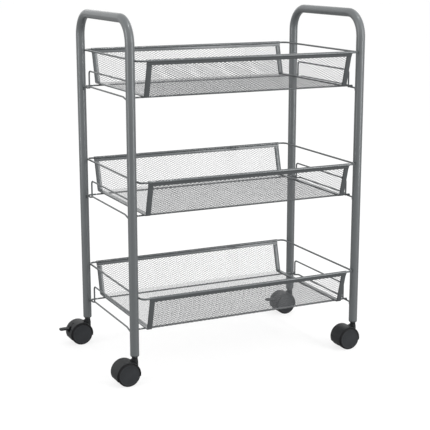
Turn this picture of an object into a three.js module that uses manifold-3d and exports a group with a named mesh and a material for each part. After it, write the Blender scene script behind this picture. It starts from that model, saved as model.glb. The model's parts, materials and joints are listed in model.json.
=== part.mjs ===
// Three-tier rolling utility cart: two bent-tube end frames, three mesh baskets and four twin-wheel casters.
// Millimetres, +Z up, floor at z = 0. X runs along the cart (left is -X), Y across it (front is -Y).
import * as THREE from "three";
import { mergeVertices } from "three/addons/utils/BufferGeometryUtils.js";
import Module from "manifold-3d";

const wasm = await Module();
wasm.setup();

// ---- Driving dimensions -------------------------------------------------------------------------

// Whole cart
const FRAME_WIDTH = 464; // over the outsides of the two end frames
const FRAME_DEPTH = 262; // over the outsides of the legs
const HEIGHT = 638; // floor to the top of the end frames
const GAP = 0.3; // left between pieces that touch or are welded

// End frames
const TUBE_DIAMETER = 16;
const TUBE_WALL = 1.2;
const TUBE_BEND = 42; // centreline radius of the two top bends
const LEG_FOOT = 50.5; // height of the open leg ends

// Baskets
const TOP_RIM = 561.5; // height of the top basket's rim wire
const TIER_PITCH = 204.3;
const RIM_WIRE = 3.5; // wire diameters
const BASE_WIRE = 3;
const RIM_DEPTH = 270.4; // between the rim wire's front and back axes
const RIM_CORNER = 10;
const TRAY_LENGTH = 397.4; // over the edge bindings
const TRAY_DROP = 60.2; // rim axis down to the middle of the floor sheet
const FLOOR_DEPTH = 238; // between the two bottom folds
const SHEET = 0.8;
const TRIM_SHEET = 0.6; // hems and bindings
const HEM_HEIGHT = 7; // rim axis down to the hem's lower edge
const BINDING_WIDTH = 9.5;
const FOLD_RADIUS = 2.6;
const BASE_WIRE_SPACING = 204.4; // between the two wires under the floor
const END_WIRE_X = 221.5; // end wire's distance from the cart's middle
const GUARD_HEIGHT = 27.8; // guard's top above the wires under the floor
const GUARD_HALF_WIDTH = 93.8;
const GUARD_CORNER = 6;
const DIP_START = 82; // where the end wire leaves the level of the base wires, from the middle plane
const DIP_END = 96; // where it has passed under them
const END_WIRE_BEND = 2;
const TIP_DROP = 5.5; // the end wire's tips, turned down against the legs
const WELD_OVERLAP = 0.5; // depth that the guard sinks into the end wire

// Casters
const WHEEL_RADIUS = 21;
const WHEEL_FACETS = 24;
const WHEEL_INNER = 4.7; // wheel's inner and outer faces, from the caster's middle plane
const WHEEL_OUTER = 17.6;
const TRAIL = 17; // axle's distance behind the swivel axis
const AXLE_RADIUS = 2;
const HOOD_RADIUS = 22.6;
const HOOD_INNER = 21.6;
const HOOD_HALF_WIDTH = 16.4;
const HOOD_FRONT_ANGLE = -12; // where the hood's two edges lie round the axle, in degrees
const HOOD_BACK_ANGLE = 205;
const WEB_HALF_WIDTH = 4;
const NECK_RADIUS = 6;
const NECK_TOP = 47.6;
const NECK_ROOT = 30; // where the neck starts, inside the hood
const HUB_RADIUS = 9; // of the web below the axle
const WHEEL_CHAMFER = 1.8; // the wheel's outer edge: how far in, and how far along
const WHEEL_SHOULDER = 3;
const WHEEL_WEB = 3.2; // wheel's closed outer wall, past the end of its bore
const AXLE_END_GAP = 0.4;
const STEM_RADIUS = 3.5;
const STEM_TOP = 69;
const STEM_CHAMFER = 1.5;
const STEM_COLLAR = 1.5; // collar's height over the stem's side
const STEM_DEPTH = 9; // stem's lower end, below the neck's top
const STEM_END_GAP = 0.6;
const PLUG_FLANGE = 1.2;
const PLUG_INSET = 0.4; // flange's edge, inside the tube's outer face
const PLUG_SLACK = 0.2;
const PLUG_LENGTH = 22;
const PLUG_CHAMFER = [1, 1.5]; // across and along

// Brake levers, with X measured from the swivel axis
const LEVER_REACH = 57; // brake lever's tip
const LEVER_THICKNESS = 3;
const LEVER_WIDTH = 12;
const LEVER_CORNER = 4;
const LEVER_HEIGHT = 31.3; // middle of the paddle
const LEVER_ROOT = -38.8; // where the paddle meets its tongue
const LEVER_PIVOT = [-30, 36]; // X and Z
const LEVER_BOSS = 3; // radius round the pivot
const LEVER_TONGUE = 2.3; // half the tongue's thickness
const PIN_RADIUS = 1.2;
const TONGUE_SLOT = { x: [-36.5, -25.5], z: [24, 40.2] }; // cut in the web for the tongue to swing in
const PADDLE_WINDOW = { x: [-45, -33.5], z: [24, 34.6], clearance: 0.8 }; // cut in the hood's rear edge

// ---- Sizes worked out from them -----------------------------------------------------------------

const TUBE_RADIUS = TUBE_DIAMETER / 2;
const TUBE_BORE = TUBE_RADIUS - TUBE_WALL;
const LEG_X = FRAME_WIDTH / 2 - TUBE_RADIUS;
const LEG_Y = FRAME_DEPTH / 2 - TUBE_RADIUS;
const RIM_X = LEG_X - TUBE_RADIUS - GAP - RIM_WIRE / 2;
const RIM_Y = RIM_DEPTH / 2;
const WALL_LEAN = Math.atan((RIM_Y - FLOOR_DEPTH / 2) / TRAY_DROP);
const TRIM_INNER = SHEET / 2 + GAP; // trim's inner face, from the middle of the sheet
const TRIM_OUTER = TRIM_INNER + TRIM_SHEET;
const BASE_WIRE_DROP = TRAY_DROP + TRIM_OUTER + GAP + BASE_WIRE / 2;
const END_WIRE_DROP = BASE_WIRE_DROP + BASE_WIRE + GAP;
const TRAY_END = TRAY_LENGTH / 2;
const SHEET_END = TRAY_END - TRIM_SHEET - GAP;
const AXLE_HEIGHT = WHEEL_RADIUS;
const AXLE_HALF_LENGTH = WHEEL_OUTER - WHEEL_WEB - AXLE_END_GAP;
// The levers reach further to -X than the right-hand legs do to +X: this puts the box's middle at x = 0.
const CENTRE_SHIFT = (LEVER_REACH - TUBE_RADIUS) / 2;

// ---- Finishes -----------------------------------------------------------------------------------

function finish(color, roughness, metalness) {
  return new THREE.MeshStandardMaterial({ color, roughness, metalness });
}

const FRAME_PAINT = () => finish(0x6e7375, 0.5, 0.25);
const WIRE_PAINT = () => finish(0x5c6163, 0.5, 0.25);
const MESH_PAINT = () => finish(0x7b8083, 0.55, 0.25);
const BLACK_PLASTIC = () => finish(0x2c2e30, 0.45, 0);
const WHEEL_PLASTIC = () => finish(0x25272a, 0.55, 0);
const STEEL = () => finish(0x9a9c9e, 0.35, 0.9);

// ---- Shape helpers ------------------------------------------------------------------------------

const radians = THREE.MathUtils.degToRad;

/** A path given by its stations, so that a sweep puts one cross-section at each of them. */
class StationPath extends THREE.Curve {
  constructor(stations, closed = false) {
    super();
    this.stations = stations;
    this.closed = closed;
    this.steps = stations.length - 1;
  }

  getSpacedPoints() {
    return this.stations;
  }

  getPoint(t, target = new THREE.Vector3()) {
    const index = Math.min(Math.floor(t * this.steps), this.steps - 1);
    return target.lerpVectors(this.stations[index], this.stations[index + 1], t * this.steps - index);
  }

  /** The mean direction of the two stretches that meet at a station. */
  getTangentAt(u, target = new THREE.Vector3()) {
    const index = Math.round(u * this.steps);
    const isEnd = index === 0 || index === this.steps;
    const before = isEnd && this.closed ? this.steps - 1 : Math.max(index - 1, 0);
    const after = isEnd && this.closed ? 1 : Math.min(index + 1, this.steps);
    const arriving = this.stations[index].clone().sub(this.stations[before]).normalize();
    const leaving = this.stations[after].clone().sub(this.stations[index]).normalize();
    return target.addVectors(arriving, leaving).normalize();
  }
}

/** The arc that rounds the corner between two straight stretches, as a list of points. */
function cornerArc(before, corner, after, radius, steps) {
  const arriving = corner.clone().sub(before).normalize();
  const leaving = after.clone().sub(corner).normalize();
  const turn = arriving.angleTo(leaving);
  const start = corner.clone().addScaledVector(arriving, -radius * Math.tan(turn / 2));
  const inward = leaving.clone().sub(arriving).normalize();
  const middle = corner.clone().addScaledVector(inward, radius / Math.cos(turn / 2));
  const spoke = start.clone().sub(middle);
  return Array.from({ length: steps + 1 }, (_, k) => {
    const angle = (turn * k) / steps;
    const point = middle.clone().addScaledVector(spoke, Math.cos(angle));
    return point.addScaledVector(arriving, radius * Math.sin(angle));
  });
}

/** Stations along an open polyline whose inner corners are bent to a radius. */
function bentPath(corners, radius, steps) {
  const bends = corners.slice(1, -1);
  const arcs = bends.map((corner, i) => cornerArc(corners[i], corner, corners[i + 2], radius, steps));
  return new StationPath([corners[0], ...arcs.flat(), corners.at(-1)]);
}

/** Stations round a closed polyline whose corners are bent to a radius. */
function closedPath(corners, radius, steps) {
  const count = corners.length;
  const arcs = corners.map((corner, i) =>
    cornerArc(corners[(i + count - 1) % count], corner, corners[(i + 1) % count], radius, steps),
  );
  const stations = arcs.flat();
  return new StationPath([...stations, stations[0].clone()], true);
}

/** A regular polygon with a corner on each axis, standing for a circle. */
function roundSection(radius, sides) {
  const corner = (_, k) => {
    const angle = (2 * Math.PI * k) / sides;
    return new THREE.Vector2(radius * Math.cos(angle), radius * Math.sin(angle));
  };
  return Array.from({ length: sides }, corner);
}

const sweep = (shape, path) => new THREE.ExtrudeGeometry(shape, { steps: path.steps, extrudePath: path });

/** A round wire along an open path. */
function wire(path, diameter, sides = 8) {
  return sweep(new THREE.Shape(roundSection(diameter / 2, sides)), path);
}

/** A round wire bent into a closed loop: the sweep's two end lids face each other and are left out. */
function wireLoop(path, diameter, sides = 8) {
  const swept = wire(path, diameter, sides);
  const walls = swept.groups.find((group) => group.materialIndex === 1);
  const position = swept.getAttribute("position").array.slice(walls.start * 3, (walls.start + walls.count) * 3);
  const loop = new THREE.BufferGeometry();
  loop.setAttribute("position", new THREE.BufferAttribute(position, 3));
  return loop;
}

/** An outline extruded upwards from a base height. */
function plate(shape, base, thickness) {
  return new THREE.ExtrudeGeometry(shape, { depth: thickness, bevelEnabled: false }).translate(0, 0, base);
}

/** An outline given in Y and Z, extruded along X from one place to another. */
function alongX(shape, from, to) {
  const turn = new THREE.Matrix4().makeBasis(
    new THREE.Vector3(0, 1, 0),
    new THREE.Vector3(0, 0, 1),
    new THREE.Vector3(1, 0, 0),
  );
  return plate(shape, from, to - from).applyMatrix4(turn);
}

/** An outline given in X and Z, extruded along Y from one place to another. */
function alongY(shape, from, to) {
  return plate(shape, -to, to - from).rotateX(Math.PI / 2);
}

/** A profile of [radius, height] points turned round the Z axis. */
function turned(profile, sides) {
  const points = profile.map(([radius, height]) => new THREE.Vector2(radius, height));
  return new THREE.LatheGeometry(points, sides).rotateX(Math.PI / 2);
}

/** A profile of [radius, offset] points turned round the Y axis, with its offset running towards +Y. */
function turnedAlongY(profile, sides) {
  return turned(profile, sides).rotateX(-Math.PI / 2);
}

/** A three.js geometry as a solid that can be joined and cut. */
function solid(geometry) {
  const bare = geometry.clone();
  bare.deleteAttribute("normal");
  bare.deleteAttribute("uv");
  const merged = mergeVertices(bare, 1e-4);
  return new wasm.Manifold(
    new wasm.Mesh({
      numProp: 3,
      vertProperties: new Float32Array(merged.getAttribute("position").array),
      triVerts: new Uint32Array(merged.getIndex().array),
    }),
  );
}

/** A joined or cut solid as a three.js geometry. */
function geometryOf(whole) {
  const mesh = whole.getMesh();
  const geometry = new THREE.BufferGeometry();
  geometry.setAttribute("position", new THREE.BufferAttribute(new Float32Array(mesh.vertProperties), 3));
  geometry.setIndex(new THREE.BufferAttribute(new Uint32Array(mesh.triVerts), 1));
  return geometry;
}

const joined = (...geometries) => geometries.map(solid).reduce((whole, next) => whole.add(next));
const cut = (whole, ...tools) => tools.map(solid).reduce((rest, tool) => rest.subtract(tool), whole);

function named(name, geometry, material) {
  const mesh = new THREE.Mesh(geometry, material);
  mesh.name = name;
  return mesh;
}

// ---- End frames ---------------------------------------------------------------------------------

/** One steel tube bent into an upside-down U: two legs and the handle bar across their tops. */
function legFrame(name, x) {
  const section = new THREE.Shape(roundSection(TUBE_RADIUS, 16));
  section.holes.push(new THREE.Path(roundSection(TUBE_BORE, 12)));
  const top = HEIGHT - TUBE_RADIUS;
  const corners = [
    new THREE.Vector3(x, -LEG_Y, LEG_FOOT),
    new THREE.Vector3(x, -LEG_Y, top),
    new THREE.Vector3(x, LEG_Y, top),
    new THREE.Vector3(x, LEG_Y, LEG_FOOT),
  ];
  return named(name, sweep(section, bentPath(corners, TUBE_BEND, 6)), FRAME_PAINT());
}

// ---- Baskets ------------------------------------------------------------------------------------

/** The line of the folded tray in Y and Z, from the top of one wall over the floor to the other. */
function trayLine(rim, drop) {
  const y = RIM_Y - drop * Math.sin(WALL_LEAN);
  const z = rim - drop * Math.cos(WALL_LEAN);
  const corners = [
    new THREE.Vector3(-y, z, 0),
    new THREE.Vector3(-FLOOR_DEPTH / 2, rim - TRAY_DROP, 0),
    new THREE.Vector3(FLOOR_DEPTH / 2, rim - TRAY_DROP, 0),
    new THREE.Vector3(y, z, 0),
  ];
  return bentPath(corners, FOLD_RADIUS, 3);
}

/** The band of a given half thickness either side of the tray's line. */
function trayBand(rim, drop, half) {
  const path = trayLine(rim, drop);
  const side = (sign) =>
    path.stations.map((station, i) => {
      const along = path.getTangentAt(i / path.steps);
      return new THREE.Vector2(station.x - sign * half * along.y, station.y + sign * half * along.x);
    });
  return new THREE.Shape([...side(-1), ...side(1).reverse()]);
}

/** The rolled hem's section round the rim wire, with its two legs hanging either side of the sheet. */
function hemSection() {
  const rollInner = RIM_WIRE / 2 + GAP;
  const rollOuter = rollInner + TRIM_SHEET;
  const arc = (radius, legOffset, steps) => {
    const end = Math.asin(legOffset / radius);
    return Array.from({ length: steps + 1 }, (_, k) => {
      const angle = -Math.PI / 2 + end + ((2 * Math.PI - 2 * end) * k) / steps;
      return new THREE.Vector2(radius * Math.cos(angle), radius * Math.sin(angle));
    });
  };
  const outside = arc(rollOuter, TRIM_OUTER, 10);
  const inside = arc(rollInner, TRIM_INNER, 8).reverse();
  const foot = (y) => new THREE.Vector2(y, -HEM_HEIGHT);
  return new THREE.Shape([
    foot(TRIM_OUTER),
    ...outside,
    foot(-TRIM_OUTER),
    foot(-TRIM_INNER),
    ...inside,
    foot(TRIM_INNER),
  ]);
}

/** The hem along one long side, leaning in with its wall; side is -1 at the front and 1 at the back. */
function hem(name, rim, side) {
  const geometry = alongX(hemSection(), -TRAY_END, TRAY_END);
  geometry.rotateX(-side * WALL_LEAN);
  geometry.translate(0, side * RIM_Y, rim);
  return named(name, geometry, WIRE_PAINT());
}

/** The tray itself: one sheet of expanded mesh folded up at the front and the back, open at its ends. */
function meshTray(name, rim) {
  const belowWire = RIM_WIRE / 2 + 2 * GAP;
  return named(name, alongX(trayBand(rim, belowWire, SHEET / 2), -SHEET_END, SHEET_END), MESH_PAINT());
}

/** The folded strip over the tray's cut edge at one end: down one wall, across the floor and up the other. */
function binding(name, rim, side) {
  const start = HEM_HEIGHT + GAP;
  const past = 1; // the slot runs out of the strip's open sides
  const open = TRAY_END - BINDING_WIDTH;
  const outer = alongX(trayBand(rim, start, TRIM_OUTER), open, TRAY_END);
  const slot = alongX(trayBand(rim, start - past, TRIM_INNER), open - past, TRAY_END - TRIM_SHEET);
  const geometry = geometryOf(cut(solid(outer), slot));
  if (side < 0) {
    geometry.rotateZ(Math.PI);
  }
  return named(name, geometry, WIRE_PAINT());
}

/** The closed wire loop that the basket hangs from, welded to the inner sides of all four legs. */
function rimWire(name, rim) {
  const corners = [
    new THREE.Vector3(-RIM_X, -RIM_Y, rim),
    new THREE.Vector3(RIM_X, -RIM_Y, rim),
    new THREE.Vector3(RIM_X, RIM_Y, rim),
    new THREE.Vector3(-RIM_X, RIM_Y, rim),
  ];
  return named(name, wireLoop(closedPath(corners, RIM_CORNER, 3), RIM_WIRE), WIRE_PAINT());
}

/** One straight wire along the underside of the tray. */
function baseWire(name, rim, side) {
  const y = (side * BASE_WIRE_SPACING) / 2;
  const z = rim - BASE_WIRE_DROP;
  const reach = END_WIRE_X + BASE_WIRE / 3; // just past the end wire's axis
  const path = new StationPath([new THREE.Vector3(-reach, y, z), new THREE.Vector3(reach, y, z)]);
  return named(name, wire(path, BASE_WIRE), WIRE_PAINT());
}

/** The end wire from leg to leg, which dips under the base wires, with the guard hoop welded to it. */
function endWires(name, rim, side) {
  const x = side * END_WIRE_X;
  const level = rim - BASE_WIRE_DROP;
  const dipped = rim - END_WIRE_DROP;
  const legFace = LEG_Y - Math.sqrt(TUBE_RADIUS ** 2 - (LEG_X - END_WIRE_X) ** 2);
  const tipY = legFace - GAP - BASE_WIRE / 2;
  const half = [
    [tipY, dipped - TIP_DROP],
    [tipY, dipped],
    [DIP_END, dipped],
    [DIP_START, level],
  ];
  const front = half.map(([y, z]) => new THREE.Vector3(x, -y, z));
  const back = half.map(([y, z]) => new THREE.Vector3(x, y, z)).reverse();
  const endWire = wire(bentPath([...front, ...back], END_WIRE_BEND, 2), BASE_WIRE);
  const guardX = side * (END_WIRE_X - BASE_WIRE + WELD_OVERLAP);
  const guardFoot = dipped - BASE_WIRE / 3;
  const guardTop = level + GUARD_HEIGHT;
  const guardCorners = [
    new THREE.Vector3(guardX, -GUARD_HALF_WIDTH, guardFoot),
    new THREE.Vector3(guardX, -GUARD_HALF_WIDTH, guardTop),
    new THREE.Vector3(guardX, GUARD_HALF_WIDTH, guardTop),
    new THREE.Vector3(guardX, GUARD_HALF_WIDTH, guardFoot),
  ];
  const guard = wire(bentPath(guardCorners, GUARD_CORNER, 3), BASE_WIRE);
  return named(name, geometryOf(joined(endWire, guard)), WIRE_PAINT());
}

/** One basket with its rim, tray, hems, bindings and the wires that carry it. */
function basket(tier, rim) {
  const group = new THREE.Group();
  group.add(rimWire(`${tier}_rim_wire`, rim), meshTray(`${tier}_mesh_tray`, rim));
  for (const [place, side] of [["front", -1], ["back", 1]]) {
    group.add(hem(`${tier}_${place}_hem`, rim, side), baseWire(`${tier}_${place}_base_wire`, rim, side));
  }
  for (const [place, side] of [["left", -1], ["right", 1]]) {
    group.add(binding(`${tier}_${place}_binding`, rim, side));
    group.add(endWires(`${tier}_${place}_end_wires`, rim, side));
  }
  return group;
}

// ---- Casters ------------------------------------------------------------------------------------
// Each caster is drawn about its swivel axis, with the floor at z = 0 and the wheels trailing to -X.

/** The flanged plastic plug pressed into the leg's open end. */
function legPlug(name) {
  const bore = STEM_RADIUS + GAP;
  const shank = TUBE_BORE - GAP - PLUG_SLACK;
  const flange = TUBE_RADIUS - PLUG_INSET;
  const flangeTop = LEG_FOOT - GAP;
  const flangeBottom = flangeTop - PLUG_FLANGE;
  const plugTop = LEG_FOOT + PLUG_LENGTH;
  const [chamferAcross, chamferAlong] = PLUG_CHAMFER;
  const profile = [
    [bore, flangeBottom],
    [flange, flangeBottom],
    [flange, flangeTop],
    [shank, flangeTop],
    [shank, plugTop - chamferAlong],
    [shank - chamferAcross, plugTop],
    [bore, plugTop],
    [bore, flangeBottom],
  ];
  return named(name, turned(profile, 12), BLACK_PLASTIC());
}

/** The steel stem that the caster turns on: fixed in the plug, with a collar that carries the load. */
function casterStem(name) {
  const collarBottom = NECK_TOP + GAP;
  const collarTop = LEG_FOOT - GAP - PLUG_FLANGE - GAP;
  const collarRadius = STEM_RADIUS + STEM_COLLAR;
  const stemBottom = NECK_TOP - STEM_DEPTH;
  const profile = [
    [0, stemBottom],
    [STEM_RADIUS, stemBottom],
    [STEM_RADIUS, collarBottom],
    [collarRadius, collarBottom],
    [collarRadius, collarTop],
    [STEM_RADIUS, collarTop],
    [STEM_RADIUS, STEM_TOP - STEM_CHAMFER],
    [STEM_RADIUS - STEM_CHAMFER, STEM_TOP],
    [0, STEM_TOP],
  ];
  return named(name, turned(profile, 12), STEEL());
}

/** The side outline of the hood and its centre web, round the axle. */
function hoodOutline() {
  const from = radians(HOOD_FRONT_ANGLE);
  const to = radians(HOOD_BACK_ANGLE);
  const arc = (radius, start, end, count) =>
    Array.from({ length: count + 1 }, (_, k) => {
      const angle = start + ((end - start) * k) / count;
      return new THREE.Vector2(-TRAIL + radius * Math.cos(angle), AXLE_HEIGHT + radius * Math.sin(angle));
    });
  return new THREE.Shape([
    ...arc(HOOD_RADIUS, from, to, 16),
    ...arc(HUB_RADIUS, to, 2 * Math.PI + from, 4),
  ]);
}

/** A cylinder along Y round the caster's axle. */
function axleCylinder(radius, from, to, sides) {
  const cylinder = turnedAlongY([[0, from], [radius, from], [radius, to], [0, to]], sides);
  return cylinder.translate(-TRAIL, 0, AXLE_HEIGHT);
}

const box = (x, y, z) =>
  new THREE.BoxGeometry(x[1] - x[0], y[1] - y[0], z[1] - z[0]).translate(
    (x[0] + x[1]) / 2,
    (y[0] + y[1]) / 2,
    (z[0] + z[1]) / 2,
  );

/** The moulded body: a hood over both wheels, a web between them and the neck that turns on the stem. */
function casterHousing(name, hasBrake) {
  const hood = alongY(hoodOutline(), -HOOD_HALF_WIDTH, HOOD_HALF_WIDTH);
  const neck = turned([[0, NECK_ROOT], [NECK_RADIUS, NECK_ROOT], [NECK_RADIUS, NECK_TOP], [0, NECK_TOP]], 16);
  const past = HOOD_HALF_WIDTH + WEB_HALF_WIDTH; // the cuts run out of both sides
  const stemBore = STEM_RADIUS + GAP;
  const stemBottom = NECK_TOP - STEM_DEPTH - STEM_END_GAP;
  let moulding = cut(
    joined(hood, neck),
    axleCylinder(HOOD_INNER, WEB_HALF_WIDTH, past, 30),
    axleCylinder(HOOD_INNER, -past, -WEB_HALF_WIDTH, 30),
    axleCylinder(AXLE_RADIUS + GAP, -past, past, 12),
    turned([[0, stemBottom], [stemBore, stemBottom], [stemBore, STEM_TOP], [0, STEM_TOP]], 12),
  );
  if (hasBrake) {
    const tongueHalf = LEVER_TONGUE + GAP;
    const paddleHalf = LEVER_WIDTH / 2 + PADDLE_WINDOW.clearance;
    moulding = cut(
      moulding,
      box(TONGUE_SLOT.x, [-tongueHalf, tongueHalf], TONGUE_SLOT.z),
      box(PADDLE_WINDOW.x, [-paddleHalf, paddleHalf], PADDLE_WINDOW.z),
      brakePinShape(PIN_RADIUS + GAP, past),
    );
  }
  return named(name, geometryOf(moulding), BLACK_PLASTIC());
}

/** The steel pin that both wheels run on. */
function casterAxle(name) {
  return named(name, axleCylinder(AXLE_RADIUS, -AXLE_HALF_LENGTH, AXLE_HALF_LENGTH, 12), STEEL());
}

/** One wheel, with a blind bore on its inner side; side is -1 for the front one and 1 for the back one. */
function casterWheel(name, side) {
  const corner = WHEEL_RADIUS / Math.cos(Math.PI / WHEEL_FACETS); // its flats then lie on the rolling radius
  const bore = AXLE_RADIUS + GAP;
  const boreEnd = WHEEL_OUTER - WHEEL_WEB;
  const profile = [
    [0, boreEnd],
    [bore, boreEnd],
    [bore, WHEEL_INNER],
    [corner, WHEEL_INNER],
    [corner, WHEEL_OUTER - WHEEL_SHOULDER],
    [corner - WHEEL_CHAMFER, WHEEL_OUTER],
    [0, WHEEL_OUTER],
  ];
  const geometry = turnedAlongY(profile, WHEEL_FACETS);
  geometry.rotateY(Math.PI / WHEEL_FACETS);
  if (side < 0) {
    geometry.rotateZ(Math.PI);
  }
  geometry.translate(-TRAIL, 0, AXLE_HEIGHT);
  return named(name, geometry, WHEEL_PLASTIC());
}

/** A cylinder along Y through the brake lever's pivot. */
function brakePinShape(radius, half) {
  const [x, z] = LEVER_PIVOT;
  return turnedAlongY([[0, -half], [radius, -half], [radius, half], [0, half]], 10).translate(x, 0, z);
}

/** The foot lever: a paddle outside the hood on a tongue that swings in the web. */
function brakeLever(name) {
  const [pivotX, pivotZ] = LEVER_PIVOT;
  const under = LEVER_HEIGHT - LEVER_THICKNESS / 2;
  const over = LEVER_HEIGHT + LEVER_THICKNESS / 2;
  const boss = roundSection(LEVER_BOSS, 12).map((p) => p.add(new THREE.Vector2(pivotX, pivotZ)));
  const sunk = LEVER_ROOT - 2; // the tongue runs into the paddle, and into its boss
  const tongue = new THREE.Shape([
    new THREE.Vector2(sunk, under),
    new THREE.Vector2(LEVER_ROOT + 1, under),
    new THREE.Vector2(pivotX + LEVER_BOSS / 2, pivotZ - LEVER_BOSS * 0.85),
    new THREE.Vector2(pivotX - LEVER_BOSS / 3, pivotZ + LEVER_BOSS * 0.9),
    new THREE.Vector2(LEVER_ROOT, over),
    new THREE.Vector2(sunk, over),
  ]);
  const half = LEVER_WIDTH / 2;
  const arcX = LEVER_CORNER - LEVER_REACH;
  const arcY = half - LEVER_CORNER;
  const paddle = new THREE.Shape();
  paddle.moveTo(LEVER_ROOT, -half);
  paddle.lineTo(LEVER_ROOT, half);
  paddle.lineTo(arcX, half);
  paddle.absarc(arcX, arcY, LEVER_CORNER, Math.PI / 2, Math.PI, false);
  paddle.absarc(arcX, -arcY, LEVER_CORNER, Math.PI, 1.5 * Math.PI, false);
  const flat = new THREE.ExtrudeGeometry(paddle, {
    depth: LEVER_THICKNESS,
    bevelEnabled: false,
    curveSegments: 4,
  });
  const whole = joined(
    alongY(tongue, -LEVER_TONGUE, LEVER_TONGUE),
    alongY(new THREE.Shape(boss), -LEVER_TONGUE, LEVER_TONGUE),
    flat.translate(0, 0, under),
  );
  return named(name, geometryOf(cut(whole, brakePinShape(PIN_RADIUS + GAP, LEVER_WIDTH))), BLACK_PLASTIC());
}

/** The short steel pin that the lever swings on, held in the web. */
function brakePin(name) {
  return named(name, brakePinShape(PIN_RADIUS, WEB_HALF_WIDTH - GAP), STEEL());
}

/** A caster with its plug and stem, standing under one leg. */
function caster(corner, x, y, hasBrake) {
  const group = new THREE.Group();
  group.position.set(x, y, 0);
  group.add(
    legPlug(`${corner}_leg_plug`),
    casterStem(`${corner}_caster_stem`),
    casterHousing(`${corner}_caster_housing`, hasBrake),
    casterAxle(`${corner}_caster_axle`),
    casterWheel(`${corner}_caster_front_wheel`, -1),
    casterWheel(`${corner}_caster_back_wheel`, 1),
  );
  if (hasBrake) {
    group.add(brakeLever(`${corner}_brake_lever`), brakePin(`${corner}_brake_pin`));
  }
  return group;
}

// ---- The whole cart -----------------------------------------------------------------------------

const structure = new THREE.Group();
structure.position.x = CENTRE_SHIFT;
structure.add(legFrame("left_leg_frame", -LEG_X), legFrame("right_leg_frame", LEG_X));
["top", "middle", "bottom"].forEach((tier, i) => structure.add(basket(tier, TOP_RIM - i * TIER_PITCH)));
for (const [side, x] of [["left", -LEG_X], ["right", LEG_X]]) {
  structure.add(caster(`front_${side}`, x, -LEG_Y, false), caster(`rear_${side}`, x, LEG_Y, true));
}

const cart = new THREE.Group();
cart.add(structure);

export default cart;
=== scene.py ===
# %% [markdown]
# # A rolling cart in powder-coated steel
# The cart is two end frames bent from tube, three baskets of expanded mesh between them, and four small
# casters. Its frame comes packed from CAD, with every size, axis and joint settled. This lesson adds what
# CAD leaves out: smooth bends, open mesh, folded edges, welds and paint. Nothing that CAD placed is moved
# or resized here.

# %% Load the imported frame
import json
import math
import random

import bmesh
import bpy
from mathutils import Matrix, Vector


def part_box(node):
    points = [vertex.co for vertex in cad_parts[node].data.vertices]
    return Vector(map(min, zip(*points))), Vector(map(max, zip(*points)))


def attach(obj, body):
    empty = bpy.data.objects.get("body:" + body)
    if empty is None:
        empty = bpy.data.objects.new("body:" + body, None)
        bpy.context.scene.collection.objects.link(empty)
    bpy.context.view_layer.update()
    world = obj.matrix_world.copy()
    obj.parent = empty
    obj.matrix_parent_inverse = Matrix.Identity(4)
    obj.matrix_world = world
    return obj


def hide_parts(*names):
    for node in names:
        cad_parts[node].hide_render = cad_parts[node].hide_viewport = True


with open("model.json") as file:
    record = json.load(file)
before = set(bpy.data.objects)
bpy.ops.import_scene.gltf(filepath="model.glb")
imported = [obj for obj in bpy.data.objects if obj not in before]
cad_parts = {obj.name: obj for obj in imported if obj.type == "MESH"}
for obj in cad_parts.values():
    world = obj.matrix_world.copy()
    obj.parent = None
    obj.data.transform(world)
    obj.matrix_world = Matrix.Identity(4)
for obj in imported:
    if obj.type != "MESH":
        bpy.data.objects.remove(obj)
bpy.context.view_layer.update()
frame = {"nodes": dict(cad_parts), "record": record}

# %% [markdown]
# ## Reading sizes
# A maker measures the part in front of them. Each helper below measures one CAD node, so that the fine
# piece that takes its place always has its size. All lengths are metres; `MM` keeps small ones readable.

# %% Measuring helpers
MM = 0.001
UP = Vector((0, 0, 1))
ALONG = Vector((1, 0, 0))  # the cart's length
SIDEWAYS = Vector((0, 1, 0))  # its depth


def middle(node):
    """The centre of a CAD node's box."""
    low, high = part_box(node)
    return (low + high) / 2


def span(node):
    """The size of a CAD node's box along X, Y and Z."""
    low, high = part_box(node)
    return high - low


print("left frame is", [round(length / MM, 1) for length in span("left_leg_frame")], "mm")

# %% [markdown]
# ## Shapes from rings
# Tube, wire, folded strip and moulded drum all share one idea: a closed ring of points, repeated along a
# route and joined to the next. Primitives would need cutting and joining afterwards. Lofting rings gives
# clean quads, exact sizes and bends as smooth as we like.


# %% Loft a list of rings
def loft(rings, closed=False):
    """Joins rings of equal length into one surface: closed end to end, or with a lid at both ends."""
    size = len(rings[0])
    points = [point for ring in rings for point in ring]
    faces = []
    for k in range(len(rings) if closed else len(rings) - 1):
        here, there = k * size, (k + 1) % len(rings) * size
        for i in range(size):
            j = (i + 1) % size
            faces.append((here + i, here + j, there + j, there + i))
    if not closed:
        last = (len(rings) - 1) * size
        faces.append(tuple(reversed(range(size))))
        faces.append(tuple(range(last, last + size)))
    return points, faces


def circle(radius, sides):
    """Points of a circle, as pairs."""
    turns = [2 * math.pi * k / sides for k in range(sides)]
    return [(radius * math.cos(turn), radius * math.sin(turn)) for turn in turns]


# %% [markdown]
# ### Bent routes
# Tube and wire are bent round a former, so every corner is an arc of one radius between straight stretches.
# A smooth curve object would bulge in the straights. Working the arc out from its two tangents keeps them
# straight.


# %% Bend a route round its corners
def corner_arc(before, corner, after, radius, steps):
    """The points of the arc that rounds one corner of a route."""
    arriving, leaving = (corner - before).normalized(), (after - corner).normalized()
    turn = arriving.angle(leaving)
    start = corner - arriving * radius * math.tan(turn / 2)
    centre = corner + (leaving - arriving).normalized() * radius / math.cos(turn / 2)
    spoke = start - centre
    angles = [turn * k / steps for k in range(steps + 1)]
    return [centre + spoke * math.cos(a) + arriving * radius * math.sin(a) for a in angles]


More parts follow.
